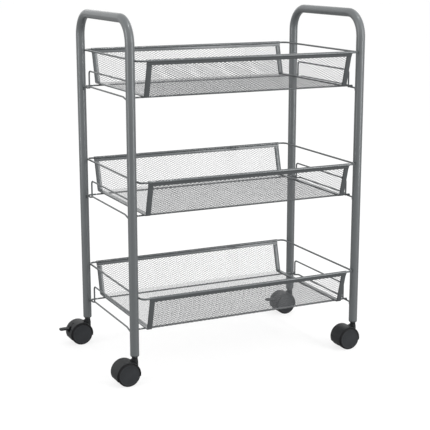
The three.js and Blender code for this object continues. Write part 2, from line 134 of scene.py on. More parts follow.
def bent(corners, radius, steps, closed=False):
    """A route through straight stretches whose corners are bent to a radius."""
    count = len(corners)
    inner = range(count) if closed else range(1, count - 1)
    arcs = [corner_arc(corners[k - 1], corners[k], corners[(k + 1) % count], radius, steps) for k in inner]
    route = [point for arc in arcs for point in arc]
    return route if closed else [corners[0], *route, corners[-1]]


def mirrored(x, half):
    """A route across the cart at one X: half of it as pairs of Y and Z, outside first, then its mirror."""
    return [Vector((x, -y, z)) for y, z in half] + [Vector((x, y, z)) for y, z in reversed(half)]


def headings(route, closed=False):
    """The mean direction of travel at each point of a route."""
    count = len(route)
    found = []
    for k in range(count):
        before = route[k - 1] if closed or k > 0 else route[0] * 2 - route[1]
        after = route[(k + 1) % count] if closed or k < count - 1 else route[-1] * 2 - route[-2]
        found.append(((route[k] - before).normalized() + (after - route[k]).normalized()).normalized())
    return found


# %% [markdown]
# ### Bar and turned parts
# Two kinds of round part make most of the cart. Bar and tube are circles square to a route. Pins, plugs and
# wheels come off a lathe or out of a round mould: they are a profile turned about an axis.


# %% Round bar along a flat route
def bar_rings(route, radius, up, sides, closed=False, flatten=None):
    """Circles square to a route in one plane, whose normal is up. Flatten narrows them within that plane."""
    rings = []
    for k, (point, heading) in enumerate(zip(route, headings(route, closed))):
        out = up.cross(heading) * (flatten[k] if flatten else 1)
        rings.append([point + out * u + up * v for u, v in circle(radius, sides)])
    return rings


def round_bar(route, radius, up, sides=12, closed=False):
    """A solid wire. An open one gets softly rounded ends."""
    if closed:
        return loft(bar_rings(route, radius, up, sides, True), True)
    nib = radius / 2  # both the depth of an end's rounding and the radius of its lid
    first, last = (route[1] - route[0]).normalized(), (route[-1] - route[-2]).normalized()
    shortened = [route[0] + first * nib, *route[1:-1], route[-1] - last * nib]
    start_lid = bar_rings([route[0], route[0] + first], nib, up, sides)[0]
    end_lid = bar_rings([route[-1], route[-1] + last], nib, up, sides)[0]
    return loft([start_lid, *bar_rings(shortened, radius, up, sides), end_lid])


# %% Turn a profile on an axis
def turned(profile, axis, centre, sides=48, closed=False):
    """A profile of (radius, offset) pairs turned about an axis through a centre."""
    upright = abs(axis.z) > 0.5
    across = ALONG if upright else UP.cross(axis)
    other = axis.cross(across)
    rings = []
    for radius, offset in profile:
        foot = centre + axis * offset
        rings.append([foot + across * u + other * v for u, v in circle(radius, sides)])
    return loft(rings, closed)


# %% [markdown]
# ## From shell to piece
# A shell is only points and faces. To become a piece it needs smooth shading with crisp creases, a finish,
# and its place in the frame: the body that it rides on, and the CAD nodes that it stands for, which it
# hides. One function does all of this, so that no piece can miss a part of it.


# %% Turn shells into a piece that rides on its body
def shell_mesh(name, points, faces):
    """A mesh whose faces all look outwards."""
    mesh = bpy.data.meshes.new(name)
    mesh.from_pydata(points, [], faces)
    work = bmesh.new()
    work.from_mesh(mesh)
    bmesh.ops.recalc_face_normals(work, faces=work.faces)
    work.to_mesh(mesh)
    work.free()
    return mesh


def piece(name, shells, finish, body, nodes, crease=40, at=Vector((0, 0, 0))):
    """Makes one object of some closed shells, in place of the CAD nodes it stands for."""
    points, faces = [], []
    for shell_points, shell_faces in shells:
        start = len(points)
        points += [point - at for point in shell_points]
        faces += [tuple(start + index for index in face) for face in shell_faces]
    mesh = shell_mesh(name, points, faces)
    mesh.polygons.foreach_set("use_smooth", [True] * len(mesh.polygons))
    mesh.set_sharp_from_angle(angle=math.radians(crease))
    mesh.materials.append(finish)
    made = bpy.data.objects.new(name, mesh)
    made.location = at
    bpy.context.scene.collection.objects.link(made)
    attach(made, body)
    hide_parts(*nodes)
    return made


def soften(made, width, segments=2, angle=35):
    """Rounds a piece's sharp edges with a bevel, as a mould or a press leaves them."""
    bevel = made.modifiers.new("edge rounding", "BEVEL")
    bevel.width, bevel.segments = width, segments
    bevel.limit_method, bevel.angle_limit = "ANGLE", math.radians(angle)
    bevel.harden_normals = True
    return made


# %% [markdown]
# ### Joining and cutting
# A moulding with webs, bores and slots is hard to draw as one skin. It is easy as a sum: start from a
# solid, add some, cut others away. Each step is one boolean, and their order matters. Adding first and
# cutting last keeps every bore open.

# %% Join and cut solids
ADD, CUT = "UNION", "DIFFERENCE"


def carved(first, steps, name="blank"):
    """Starts from one solid and adds or cuts away others in turn, each given with ADD or CUT."""
    made = []
    for k, (points, faces) in enumerate([first, *(solid for _, solid in steps)]):
        solid = bpy.data.objects.new(f"{name}_{k}", shell_mesh(f"{name}_{k}", points, faces))
        bpy.context.scene.collection.objects.link(solid)
        made.append(solid)
    for (operation, _), solid in zip(steps, made[1:]):
        step = made[0].modifiers.new("step", "BOOLEAN")
        step.object, step.solver, step.operation = solid, "EXACT", operation
    bpy.context.view_layer.update()
    result = bpy.data.meshes.new_from_object(made[0].evaluated_get(bpy.context.evaluated_depsgraph_get()))
    points = [vertex.co.copy() for vertex in result.vertices]
    faces = [tuple(face.vertices) for face in result.polygons]
    bpy.data.meshes.remove(result)
    for solid in made:
        bpy.data.objects.remove(solid)
    return points, faces


def block(x, y, z):
    """A box between three pairs of limits, for cutting."""
    outline = ((x[0], y[0]), (x[1], y[0]), (x[1], y[1]), (x[0], y[1]))
    return loft([[Vector((u, v, w)) for u, v in outline] for w in z])


# %% [markdown]
# ## Finishes
# Paint and plastic differ at three scales: a cloud of slightly darker and lighter tone over a hand's
# breadth, the skin's own texture at a millimetre, and grit below that. A node tree can be built by hand,
# node by node. Writing it as arithmetic is shorter and reads like the recipe that it is.


# %% A socket that does arithmetic
class Signal:
    """An output in a material's node tree. Arithmetic on it adds Math nodes."""

    def __init__(self, tree, output=None):
        self.tree, self.output = tree, output

    def node(self, kind, settings=(), inputs=(), output=0):
        """Adds any node: its settings first, then a value or a link for each socket named."""
        made = self.tree.nodes.new(kind)
        for name, value in dict(settings).items():
            if name == "stops":
                for stop, (position, grey) in zip(made.color_ramp.elements, value):
                    stop.position, stop.color = position, (grey, grey, grey, 1)
            else:
                setattr(made, name, value)
        for name, value in dict(inputs).items():
            if isinstance(value, Signal):
                self.tree.links.new(value.output, made.inputs[name])
            else:
                made.inputs[name].default_value = value
        return Signal(self.tree, made.outputs[output] if made.outputs else None)

    def maths(self, operation, *values):
        return self.node("ShaderNodeMath", {"operation": operation}, dict(enumerate(values)))

    def __add__(self, other):
        return self.maths("ADD", self, other)

    def __sub__(self, other):
        return self.maths("SUBTRACT", self, other)

    def __rsub__(self, other):
        return self.maths("SUBTRACT", other, self)

    def __mul__(self, other):
        return self.maths("MULTIPLY", self, other)

    __radd__ = __add__
    __rmul__ = __mul__

    def noise(self, size, detail=2.0, rough=0.5):
        """A cloud between 0 and 1 whose lumps are about this size, in metres."""
        inputs = {"Vector": self, "Scale": 1 / size, "Detail": detail, "Roughness": rough}
        return self.node("ShaderNodeTexNoise", {}, inputs)

    def ramp(self, low, high):
        """0 below one value, 1 above the other and smooth between."""
        stops = [(low, 0.0), (high, 1.0)]
        return self.node("ShaderNodeValToRGB", {"stops": stops}, {"Fac": self})

    def blend(self, first, second):
        """One colour where this signal is 0, another where it is 1. The first may vary."""
        shade = first if isinstance(first, Signal) else (*first, 1)
        inputs = {0: self, 6: shade, 7: (*second, 1)}
        return self.node("ShaderNodeMix", {"data_type": "RGBA"}, inputs, 2)


# %% What every finish shares
def new_finish(name):
    """An empty material, a signal to start its tree from and the place on the piece."""
    made = bpy.data.materials.new(name)
    made.use_nodes = True
    made.node_tree.nodes.clear()
    start = Signal(made.node_tree)
    return made, start, start.node("ShaderNodeTexCoord", output="Object")


def surface(start, inputs, height, strength, depth):
    """One principled skin with its relief, joined to the material's output."""
    relief = {"Strength": strength, "Distance": depth, "Height": height}
    bump = start.node("ShaderNodeBump", {}, relief)
    skin = start.node("ShaderNodeBsdfPrincipled", {}, {**inputs, "Normal": bump})
    start.node("ShaderNodeOutputMaterial", {}, {"Surface": skin})


def shaded(colour, amount):
    """A colour made lighter or darker by a factor."""
    return tuple(channel * amount for channel in colour)


def record_colour(slot):
    """The colour that the record gives for a material slot."""
    return next(tuple(entry["base_color"]) for entry in frame["record"]["materials"] if entry["slot"] == slot)


# %% [markdown]
# ### Powder coat
# The steel is sprayed with dry grey powder and baked, so that it flows into a satin skin. It never lies
# quite flat: it keeps a faint orange peel about a millimetre and a half across, with finer grit in it. A
# clear coat layer gives the small sharp glints over the satin. One recipe serves tube, wire and mesh; they
# differ in tone, because thin wire takes less powder than broad tube.

# %% The powder coat recipe
DRIFT, PEEL, GRIT = 90 * MM, 1.5 * MM, 0.35 * MM  # the sizes of its clouds and lumps
PEEL_DEPTH = 0.05 * MM


def powder_coat(name, colour, metallic=0.35, gloss=0.42):
    """Satin powder coat with orange peel, grit and a slow drift in tone."""
    paint, start, place = new_finish(name)
    drift = place.noise(DRIFT, 1.0).ramp(0.3, 0.7)
    peel = place.noise(PEEL, 1.0)
    grit = place.noise(GRIT, 1.0)
    speckle = grit.ramp(0.62, 0.78)
    inputs = {
        "Base Color": (drift * 0.7 + speckle * 0.3).blend(shaded(colour, 0.94), shaded(colour, 1.07)),
        "Roughness": gloss - 0.03 + 0.05 * drift + 0.04 * peel,
        "Metallic": metallic,
        "Coat Weight": 0.5,
        "Coat Roughness": 0.08,
    }
    surface(start, inputs, peel * 0.8 + grit * 0.2, 0.35, PEEL_DEPTH)
    print("mixed", name)
    return paint


frame_paint = powder_coat("frame powder coat", shaded(record_colour("frame_paint"), 0.95))
wire_paint = powder_coat("wire powder coat", shaded(record_colour("wire_paint"), 0.9))
mesh_paint = powder_coat("mesh powder coat", shaded(record_colour("mesh_paint"), 0.6), 0.2, 0.5)

# %% [markdown]
# ### Moulded plastic
# The casters are black nylon, moulded in tools with a fine spark-eroded grain. Nylon flows into the mould
# in faint clouds, which show where the light is low. It shines less than paint, so its specular level is
# below the usual. A wheel's tread and shoulder are duller and painted near black: partly a blacker tread,
# partly painted shade where the rounded shoulder turns away from the light. It could be a second material,
# but one that looks up its distance from the axle keeps the wheel in one piece.

# %% Nylon recipes
FLOW, GRAIN = 14 * MM, 0.4 * MM
GRAIN_DEPTH = 0.04 * MM
NYLON_SHINE = 0.3
TREAD_RADIUS = 18.3 * MM
# painted shade: the near black past TREAD_RADIUS is partly the tread's own colour, partly shade painted on
# the wheel's shoulder
TREAD_BLACK_AND_PAINTED_SHADE = (0.008, 0.008, 0.009)
TREAD_DULLNESS = 0.12


def moulded(name, colour, gloss):
    """Black moulded nylon with spark-eroded grain and faint flow clouds."""
    plastic, start, place = new_finish(name)
    flow = place.noise(FLOW, 2.0).ramp(0.35, 0.7)
    grain = place.noise(GRAIN, 2.0)
    inputs = {
        "Base Color": flow.blend(shaded(colour, 0.9), shaded(colour, 1.15)),
        "Roughness": gloss + 0.06 * flow + 0.05 * grain,
        "Specular IOR Level": NYLON_SHINE,
    }
    surface(start, inputs, grain, 0.4, GRAIN_DEPTH)
    print("mixed", name)
    return plastic


def wheel_nylon(name, colour, gloss):
    """Moulded nylon whose tread and shoulder, past a radius from the axis, are duller and painted near black:
    a blacker tread with painted shade on the shoulder.
    """
    nylon = moulded(name, colour, gloss)
    tree = nylon.node_tree
    start = Signal(tree)
    skin = next(node for node in tree.nodes if node.type == "BSDF_PRINCIPLED").inputs
    place = start.node("ShaderNodeTexCoord", output="Object")
    flat = start.node("ShaderNodeVectorMath", {"operation": "MULTIPLY"}, {0: place, 1: (1, 0, 1)})
    distance = start.node("ShaderNodeVectorMath", {"operation": "LENGTH"}, {0: flat}, "Value")
    # painted shade: this mask paints the tread and shoulder near black, partly blacker nylon and partly
    # shade; it also dulls them
    tread = start.maths("GREATER_THAN", distance, TREAD_RADIUS)
    face = Signal(tree, skin["Base Color"].links[0].from_socket)
    tree.links.new(tread.blend(face, TREAD_BLACK_AND_PAINTED_SHADE).output, skin["Base Color"])
    duller = Signal(tree, skin["Roughness"].links[0].from_socket) + TREAD_DULLNESS * tread
    tree.links.new(duller.output, skin["Roughness"])
    return nylon


black_plastic = moulded("moulded black nylon", shaded(record_colour("black_plastic"), 0.42), 0.45)
wheel_plastic = wheel_nylon("wheel nylon", shaded(record_colour("wheel_plastic"), 0.8), 0.5)

# %% [markdown]
# ### Plated steel
# The pins are turned steel with a thin zinc plating. It is a bare metal, with slightly cloudy patches and
# fine tool marks, so only its roughness, its tone and a shallow relief vary.

# %% The plated steel recipe
BLOOM, MARKS = 4 * MM, 0.3 * MM
MARK_DEPTH = 0.02 * MM


def plated(name, colour):
    """Zinc-plated turned steel, slightly cloudy."""
    metal, start, place = new_finish(name)
    bloom = place.noise(BLOOM, 2.0)
    marks = place.noise(MARKS, 3.0)
    inputs = {
        "Base Color": bloom.blend(shaded(colour, 0.85), shaded(colour, 1.1)),
        "Roughness": 0.28 + 0.14 * bloom,
        "Metallic": 1.0,
    }
    surface(start, inputs, marks, 0.3, MARK_DEPTH)
    print("mixed", name)
    return metal


steel = plated("zinc-plated steel", record_colour("steel"))

# %% [markdown]
# ## End frames
# Each end of the cart is one length of tube, bent twice on a former into an upside-down U. A curve with a
# bevel would draw the outside, but the legs end open at the foot, so the wall must show. Rings run up the
# outside and back down the bore, and the last joins the first: one closed skin with a real wall.

# %% Bend the two frames
TUBE_WALL = 1.2 * MM
TUBE_BEND = 42 * MM  # centreline radius
TUBE_SIDES = 40
CUT_EDGE = 0.3 * MM  # the deburred rim of the cut
BEND_STEPS = 20
BEND_FLATTENING = 0.05  # a former squeezes the tube by this much


def end_frame(side):
    """One bent tube: up one leg, across the top and down the other."""
    node = f"{side}_leg_frame"
    low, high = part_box(node)
    radius = (high.x - low.x) / 2
    x, leg, top = middle(node).x, high.y - radius, high.z - radius
    route = bent(mirrored(x, [(leg, low.z), (leg, top)]), TUBE_BEND, BEND_STEPS)
    eased = [route[0] + UP * CUT_EDGE, *route[1:-1], route[-1] + UP * CUT_EDGE]
    squeeze = [1 - BEND_FLATTENING * math.sin(math.pi * k / BEND_STEPS) for k in range(BEND_STEPS + 1)]
    flatten = [1, *squeeze, *squeeze, 1]
    bore = radius - TUBE_WALL
    outside = bar_rings(eased, radius, ALONG, TUBE_SIDES, flatten=flatten)
    inside = bar_rings(eased, bore, ALONG, TUBE_SIDES, flatten=flatten)
    outer_rim = bar_rings(route, radius - CUT_EDGE, ALONG, TUBE_SIDES)
    inner_rim = bar_rings(route, bore + CUT_EDGE, ALONG, TUBE_SIDES)
    rings = [outer_rim[0], *outside, outer_rim[-1], inner_rim[-1], *reversed(inside), inner_rim[0]]
    return piece(f"fine_{node}", [loft(rings, closed=True)], frame_paint, "root", [node])


for side in ("left", "right"):
    end_frame(side)
    print(side, "frame bent,", round(span(f"{side}_leg_frame").z / MM), "mm tall")

# %% [markdown]
# ## Weld beads
# Each wire is resistance-welded where it touches a leg or another wire. The metal squeezes out into a small
# uneven collar, and the powder coat flows over it. A few lumpy rings make one; a fixed seed keeps them the
# same each run.

# %% A lumpy bead
chance = random.Random(7)
BEAD_RINGS = 7
BEAD_FULLNESS = 0.6  # below 1 its ends are blunt
LEAST_LUMP, MOST_LUMP = 0.88, 1.08


def bead(centre, along, length, radius, sides=12):
    """A small spindle of weld metal lying along a direction."""
    side = along.cross(UP).normalized() if abs(along.z) < 0.9 else ALONG
    top = side.cross(along)
    rings = []
    for k in range(BEAD_RINGS):
        swell = math.sin(math.pi * (k + 0.5) / BEAD_RINGS) ** BEAD_FULLNESS
        size = radius * swell * chance.uniform(LEAST_LUMP, MOST_LUMP)
        foot = centre + along * length * (k / (BEAD_RINGS - 1) - 0.5)
        rings.append([foot + side * u + top * v for u, v in circle(size, sides)])
    return loft(rings)


# %% [markdown]
# ## Basket rims
# A 3.5 mm wire, bent to a rectangle and butt-welded into a loop, carries each basket. It runs along the
# inner faces of the four legs. The route is a rounded rectangle, and it closes on itself.

# %% Rims with their leg welds
TIERS = ("top", "middle", "bottom")
RIM_CORNER = 10 * MM
RIM_WELD_LENGTH, RIM_WELD_RADIUS = 6.5 * MM, 1.5 * MM


def wire_piece(node, shells):
    """A part of a basket in wire paint. It is welded in, so it belongs to the frame."""
    return piece(f"fine_{node}", shells, wire_paint, "root", [node])


def rim(tier):
    """The loop that a basket hangs from, with a bead at each leg."""
    node = f"{tier}_rim_wire"
    low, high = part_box(node)
    radius = (high.z - low.z) / 2
    z = middle(node).z
    left, right, front, back = low.x + radius, high.x - radius, low.y + radius, high.y - radius
    corners = [Vector((x, y, z)) for x, y in ((left, front), (right, front), (right, back), (left, back))]
    shells = [round_bar(bent(corners, RIM_CORNER, 10, closed=True), radius, UP, 16, closed=True)]
    for side, x, outward in (("left", left, -1), ("right", right, 1)):
        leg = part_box(f"{side}_leg_frame")[1].y - span(f"{side}_leg_frame").x / 2
        for y in (-leg, leg):
            centre = Vector((x + outward * radius * 0.75, y, z))
            shells.append(bead(centre, SIDEWAYS, RIM_WELD_LENGTH, RIM_WELD_RADIUS))
    return wire_piece(node, shells)


for tier in TIERS:
    rim(tier)
    print(tier, "rim at", round(middle(f"{tier}_rim_wire").z / MM, 1), "mm")

# %% [markdown]
# ## Expanded mesh trays
# A tray starts as steel sheet that is slit and pulled into diamonds, then folded up along two lines. A flat
# sheet with an alpha pattern would look right from afar, but it has no thickness and no holes of its own.
# Here every strand is real: two families of thin bars cross at each knuckle, and both follow the fold of
# the sheet.

# %% The line of the folded sheet
FOLD_RADIUS = 2.6 * MM
FLOOR_DEPTH = 238 * MM  # between the two folds
SHEET = 0.8 * MM  # the CAD sheet that the mesh takes the place of


def tray_line(tier, drop):
    """The sheet's middle line: from this far below the wire, down a wall, over the floor and up again."""
    wire = middle(f"{tier}_rim_wire").z
    rim_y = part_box(f"{tier}_rim_wire")[1].y - span(f"{tier}_rim_wire").z / 2
    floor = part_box(f"{tier}_mesh_tray")[0].z + SHEET / 2
    share = drop / math.hypot(rim_y - FLOOR_DEPTH / 2, wire - floor)
    top = Vector((0, rim_y, wire)).lerp(Vector((0, FLOOR_DEPTH / 2, floor)), share)
    return bent(mirrored(0, [(top.y, top.z), (FLOOR_DEPTH / 2, floor)]), FOLD_RADIUS, 4)


# %% A way to walk over the fold
class FoldedSheet:
    """Finds a place on the folded sheet from the distance walked down, across and up it."""

    def __init__(self, line):
        self.line, self.heading = line, headings(line)
        self.walked = [0.0]
        for here, there in zip(line, line[1:]):
            self.walked.append(self.walked[-1] + (there - here).length)
        self.length = self.walked[-1]

    def at(self, distance, near=1e-6):
        """The point, the heading and the outward normal at a distance along the line."""
        k = max(i for i, w in enumerate(self.walked[:-1]) if w <= distance)
        share = (distance - self.walked[k]) / (self.walked[k + 1] - self.walked[k])
        point = self.line[k].lerp(self.line[k + 1], share)
        if share < near:
            heading = self.heading[k]
        elif share > 1 - near:
            heading = self.heading[k + 1]
        else:
            heading = (self.line[k + 1] - self.line[k]).normalized()
        return point, heading, heading.cross(ALONG)


# %% [markdown]
# ### Strands
# Pulling the slit sheet open turns each strand on a slant. Seen flat, all strands of one family are
# straight and parallel, so a strand is one bar that starts on the top edge and leaves it at a slope. Where
# the sheet folds, the bar gets a ring, so that it turns with it.

# %% Strands that follow the fold
DIAMOND_LENGTH = 8.2 * MM  # along the cart
DIAMOND_HEIGHT = 4.1 * MM  # down the wall and over the floor
STRAND_WIDTH = 0.66 * MM
STRAND_THICKNESS = 0.12 * MM
SHORTEST_STRAND = DIAMOND_HEIGHT / 4


def strand(sheet, start, slope, low, high, lift):
    """One diagonal bar: it leaves the sheet's top edge at X = start, and two X limits trim it."""
    limits = sorted(((low - start) / slope, (high - start) / slope))
    begin, end = max(0.0, limits[0]), min(sheet.length, limits[1])
    if end - begin < SHORTEST_STRAND:
        return None
    stations = [begin, *[w for w in sheet.walked if begin < w < end], end]
    rings = []
    for distance in stations:
        point, heading, out = sheet.at(distance)
        centre = point + ALONG * (start + slope * distance) + out * lift
        across = (heading - ALONG * slope).normalized() * STRAND_WIDTH / 2
        thick = out * STRAND_THICKNESS / 2
        signs = ((-1, -1), (1, -1), (1, 1), (-1, 1))
        rings.append([centre + across * u + thick * v for u, v in signs])
    return loft(rings)


# %% Weave one tray from its two families of strands
MESH_DROP = 2.5 * MM  # the mesh begins inside the hem, this far below the wire's axis


def mesh_tray(tier):
    """The open diamond mesh of one tray."""
    node = f"{tier}_mesh_tray"
    low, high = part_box(node)
    sheet = FoldedSheet(tray_line(tier, MESH_DROP))
    steepness = DIAMOND_LENGTH / DIAMOND_HEIGHT
    slant = sheet.length * steepness
    shells = []
    for lean in (1, -1):
        lift = lean * STRAND_THICKNESS * 0.2  # the families nearly share one plane
        for k in range(int((slant + high.x - low.x) / DIAMOND_LENGTH) + 1):
            start = low.x + k * DIAMOND_LENGTH - (slant if lean > 0 else 0)
            shells.append(strand(sheet, start, lean * steepness, low.x, high.x, lift))
    shells = [shell for shell in shells if shell]
    print(tier, "tray has", len(shells), "strands")
    return piece(f"fine_{node}", shells, mesh_paint, "root", [node], crease=30)


for tier in TIERS:
    mesh_tray(tier)

# %% [markdown]
# ## Folded edges
# Cut mesh is sharp, so strip steel is folded over every edge. Both kinds of edge are open sections with a
# constant wall, so we draw the strip's middle line and give it a thickness. A solid bar with a groove would
# be simpler, but the strip's thin ends show at every corner of the basket.

# %% Give a line thickness
STRIP = 0.6 * MM


def thickened(line, thickness, end_steps=3):
    """A closed outline round an open line of (u, v) pairs, with round ends."""
    route = [Vector((u, v, 0)) for u, v in line]
    normals = [Vector((-heading.y, heading.x, 0)) * thickness / 2 for heading in headings(route)]
    one_side = [point + normal for point, normal in zip(route, normals)]
    other_side = [point - normal for point, normal in zip(route, normals)]

    def cap(point, normal):
        angles = [-math.pi * k / (end_steps + 1) for k in range(1, end_steps + 1)]
        return [point + Matrix.Rotation(angle, 3, "Z") @ normal for angle in angles]

    outline = [*one_side, *cap(route[-1], normals[-1]), *reversed(other_side), *cap(route[0], -normals[0])]
    return [(point.x, point.y) for point in outline]


# %% [markdown]
# ### Hems
# The hem is a strip rolled right round the rim wire. Its two legs come together below it and pinch the
# sheet. It leans in with the wall, so its section is turned about the wire before it runs along the cart.

# %% Hems along the walls
HEM_HEIGHT = 7.0 * MM  # from the wire's axis to the lower edge
LEG_SPREAD = 1.0 * MM  # hem's legs, from the middle of the sheet
ROLL_GAP = 0.35 * MM  # powder and slack between wire and strip
ROLL_STEPS = 24


def hem_outline(wire_radius):
    """The rolled strip's section: up one leg, round the wire and down the other."""
    roll = wire_radius + ROLL_GAP + STRIP / 2
    open_angle = math.asin(LEG_SPREAD / roll)
    turn = 2 * math.pi - 2 * open_angle
    angles = [-math.pi / 2 + open_angle + turn * k / ROLL_STEPS for k in range(ROLL_STEPS + 1)]
    arc = [(roll * math.cos(angle), roll * math.sin(angle)) for angle in angles]
    foot = -HEM_HEIGHT + STRIP / 2
    near_leg = [(LEG_SPREAD, foot), (LEG_SPREAD, foot / 2)]
    far_leg = [(-LEG_SPREAD, foot / 2), (-LEG_SPREAD, foot)]
    return thickened([*near_leg, *arc, *far_leg], STRIP)


def hem(tier, side, sign):
    """The hem on one wall, leaning in with it."""
    node = f"{tier}_{side}_hem"
    low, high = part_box(node)
    wire = middle(f"{tier}_rim_wire").z
    wire_radius = span(f"{tier}_rim_wire").z / 2
    rim_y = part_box(f"{tier}_rim_wire")[1].y - wire_radius
    wall = tray_line(tier, 0)
    lean = math.atan2(abs(wall[0].y) - abs(wall[1].y), wall[0].z - wall[1].z)
    turn = Matrix.Rotation(-sign * lean, 3, "X")
    section = [turn @ Vector((0, u, v)) for u, v in hem_outline(wire_radius)]
    rings = [[point + Vector((x, sign * rim_y, wire)) for point in section] for x in (low.x, high.x)]
    return wire_piece(node, [loft(rings)])


# %% [markdown]
# ### Bindings
# The binding is a plain channel that runs down one wall, over the floor and up the other. It covers the
# tray's cut ends. The same line that the mesh follows carries its section round both folds, so it stays
# square to the sheet.

# %% Bindings round the tray ends
BINDING_WIDTH = 9.5 * MM
BINDING_GAP = 0.3 * MM  # slack between the channel and the sheet
BINDING_STEPS = 6
HEM_CLEARANCE = 0.3 * MM  # between the hem's lower edge and the binding's end


def binding_outline(edge, inward):
    """The channel's section in X and out from the sheet: one leaf, round the edge and the other leaf."""
    half = SHEET / 2 + BINDING_GAP + STRIP / 2
    turn = [math.pi / 2 - math.pi * k / BINDING_STEPS for k in range(BINDING_STEPS + 1)]
    nose = edge + inward * (half + STRIP / 2)
    arc = [(nose - inward * half * math.cos(angle), half * math.sin(angle)) for angle in turn]
    leaf = edge + inward * (BINDING_WIDTH - STRIP / 2)
    return thickened([(leaf, half), *arc, (leaf, -half)], STRIP)


def binding(tier, side, inward):
    """The binding over the cut edge at one end of a tray."""
    node = f"{tier}_{side}_binding"
    low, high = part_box(node)
    section = binding_outline(low.x if inward > 0 else high.x, inward)
    line = tray_line(tier, HEM_HEIGHT + HEM_CLEARANCE)
    rings = []
    for point, heading in zip(line, headings(line)):
        out = heading.cross(ALONG)
        rings.append([point + ALONG * x + out * v for x, v in section])
    return wire_piece(node, [loft(rings)])


for tier in TIERS:
    for side, sign in (("front", -1), ("back", 1)):
        hem(tier, side, sign)
    for side, inward in (("left", 1), ("right", -1)):
        binding(tier, side, inward)
print("hems and bindings folded")

# %% [markdown]
# ## Wires under the baskets
# Two straight 3 mm wires carry each floor, cut to length with shears and rounded a little at both ends. A
# curve with a round bevel would do as well, but the bar helper gives them the same ends as every other
# wire.

# %% Straight base wires
WIRE_SIDES = 14


def base_wire(tier, side):
    """One straight wire along the underside of a tray."""
    node = f"{tier}_{side}_base_wire"
    low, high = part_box(node)
    centre, radius = middle(node), (high.z - low.z) / 2
    route = [Vector((x, centre.y, centre.z)) for x in (low.x, high.x)]
    return wire_piece(node, [round_bar(route, radius, UP, WIRE_SIDES)])


# %% [markdown]
# ## Wires at the ends
# At both ends a cross wire runs from leg to leg, dips under the base wires, and turns down at its tips
# against the legs. A hoop welded to it keeps things from rolling out. Both are bent flat, so each is plain
# bar along a flat route. They are one piece, since nothing takes them apart.

# %% End wires with their guard hoops
DIP_START, DIP_END = 82 * MM, 96 * MM  # from the middle plane
DIP_GAP = 0.3 * MM  # under the base wires
END_BEND, GUARD_CORNER = 2.5 * MM, 6 * MM
GUARD_HALF_WIDTH = 93.8 * MM
GUARD_WELD = (4.5 * MM, 1.5 * MM)  # each weld's length and radius
CROSSING_WELD = (4 * MM, 1.6 * MM)
LEG_WELD = (5 * MM, 1.3 * MM)


def end_wires(tier, side, inward):
    """The cross wire, its guard hoop and the beads that join them to the legs and the base wires."""
    node = f"{tier}_{side}_end_wires"
    low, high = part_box(node)
    base_low, base_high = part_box(f"{tier}_front_base_wire")
    radius = (base_high.z - base_low.z) / 2
    level = (base_high.z + base_low.z) / 2
    dipped = base_low.z - DIP_GAP - radius
    cross_x, guard_x = (low.x + radius, high.x - radius) if inward > 0 else (high.x - radius, low.x + radius)
    tip = high.y - radius
    cross = mirrored(cross_x, [(tip, low.z), (tip, dipped), (DIP_END, dipped), (DIP_START, level)])
    top, foot = high.z - radius, dipped - radius * 0.7
    hoop = mirrored(guard_x, [(GUARD_HALF_WIDTH, foot), (GUARD_HALF_WIDTH, top)])
    shells = [round_bar(bent(cross, END_BEND, 5), radius, ALONG, WIRE_SIDES)]
    shells.append(round_bar(bent(hoop, GUARD_CORNER, 8), radius, ALONG, WIRE_SIDES))
    for sign in (-1, 1):
        join = Vector(((cross_x + guard_x) / 2, sign * GUARD_HALF_WIDTH, dipped + radius * 0.4))
        shells.append(bead(join, SIDEWAYS, *GUARD_WELD))
        crossing = Vector((cross_x, sign * abs(middle(f"{tier}_front_base_wire").y), (level + dipped) / 2))
        shells.append(bead(crossing, SIDEWAYS, *CROSSING_WELD))
        at_leg = Vector((cross_x, sign * (tip + radius * 0.8), (dipped + low.z) / 2 + radius / 2))
        shells.append(bead(at_leg, UP, *LEG_WELD))
    print(tier, side, "end wires with", len(shells) - 2, "welds")
    return wire_piece(node, shells)


for tier in TIERS:
    for side in ("front", "back"):
        base_wire(tier, side)
    for side, inward in (("left", 1), ("right", -1)):
        end_wires(tier, side, inward)

# %% [markdown]
# ## Plugs and stems
# A plastic plug is pressed into the open foot of each leg, and its flange hides the cut edge. It holds the
# steel stem that the caster turns on; a thrust collar on the stem carries the load. Both are round, so each
# is drawn as half of its section and turned.

# %% Turn the plugs and stems
CORNERS = ("front_left", "rear_left", "front_right", "rear_right")
QUARTER = [math.pi / 2 * k / 4 for k in range(5)]
PLUG_SLACK = 0.3 * MM  # inside the tube
FLANGE_EDGE, FLANGE_ROLL, FLANGE_DEPTH = 0.2 * MM, 0.9 * MM, 1.2 * MM
COLLAR_STEP = 1.5 * MM  # the collar stands this far out from the stem


def leg_plug(corner):
    """The flanged plug in the foot of a leg."""
    node = f"{corner}_leg_plug"
    low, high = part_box(node)
    flange = (high.x - low.x) / 2
    shank = span(f"{corner.split('_')[1]}_leg_frame").x / 2 - TUBE_WALL - PLUG_SLACK
    bore = span(f"{corner}_caster_stem").x / 2 - 1.1 * MM
    seat = low.z + FLANGE_DEPTH
    profile = [(bore, low.z + FLANGE_EDGE), (bore + FLANGE_EDGE, low.z)]
    for a in QUARTER:
        profile.append((flange - FLANGE_ROLL * (1 - math.sin(a)), low.z + FLANGE_ROLL * (1 - math.cos(a))))
    profile += [(flange, seat - FLANGE_EDGE), (flange - FLANGE_EDGE, seat), (shank, seat)]
    profile += [(shank, high.z - 1.5 * MM), (shank - 1 * MM, high.z), (bore, high.z)]
    centre = Vector((middle(node).x, middle(node).y, 0))
    shell = turned(profile, UP, centre, 40, closed=True)
    return piece(f"fine_{node}", [shell], black_plastic, "root", [node], 30)


